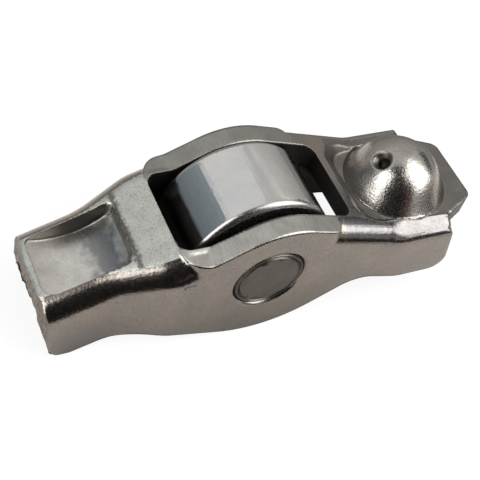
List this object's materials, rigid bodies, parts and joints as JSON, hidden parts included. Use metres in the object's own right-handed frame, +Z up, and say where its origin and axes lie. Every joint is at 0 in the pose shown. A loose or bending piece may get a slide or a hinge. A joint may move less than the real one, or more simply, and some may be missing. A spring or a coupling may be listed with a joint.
{
  "type": "rocker arm",
  "caption": "Stamped-steel roller finger follower: a folded lever with a valve pad at one end, a ball-socket dome at the other and a cam roller on needles in its window.",
  "frame": {"origin": "centre of the ball socket, the point about which the lever rocks", "axes": "+X from the valve pad towards the socket, along the lever; +Y across, parallel to the roller's axle; +Z up along the dome's axis, towards the cam"},
  "size_m": [0.0535, 0.0162, 0.0178],
  "materials": {
    "lever_steel": "tumbled satin, brownish grey, with paler sheared edges",
    "axle_steel": "flat turned end with a staked ring",
    "roller_steel": "ground and polished, with rounded edges",
    "needle_steel": "ground"
  },
  "bodies": {
    "lever": {"rocker_body": "lever_steel", "roller_axle": "axle_steel"},
    "roller": {"cam_roller": "roller_steel"},
    "needle_set": {"needle_01": "needle_steel", "needle_02": "needle_steel", "needle_03": "needle_steel", "needle_04": "needle_steel", "needle_05": "needle_steel", "needle_06": "needle_steel", "needle_07": "needle_steel", "needle_08": "needle_steel", "needle_09": "needle_steel", "needle_10": "needle_steel", "needle_11": "needle_steel", "needle_12": "needle_steel", "needle_13": "needle_steel", "needle_14": "needle_steel", "needle_15": "needle_steel", "needle_16": "needle_steel", "needle_17": "needle_steel", "needle_18": "needle_steel", "needle_19": "needle_steel"}
  },
  "joints": [
    {"name": "roller_spin", "type": "hinge", "parent": "lever", "child": "roller", "pos_m": [-0.0197, 0, -0.0028], "axis": [0, 1, 0], "continuous": true},
    {"name": "needle_orbit", "type": "hinge", "parent": "lever", "child": "needle_set", "pos_m": [-0.0197, 0, -0.0028], "axis": [0, 1, 0], "continuous": true}
  ],
  "couplings": [
    {"joint": "needle_orbit", "follows": "roller_spin", "ratio": 0.58167}
  ]
}
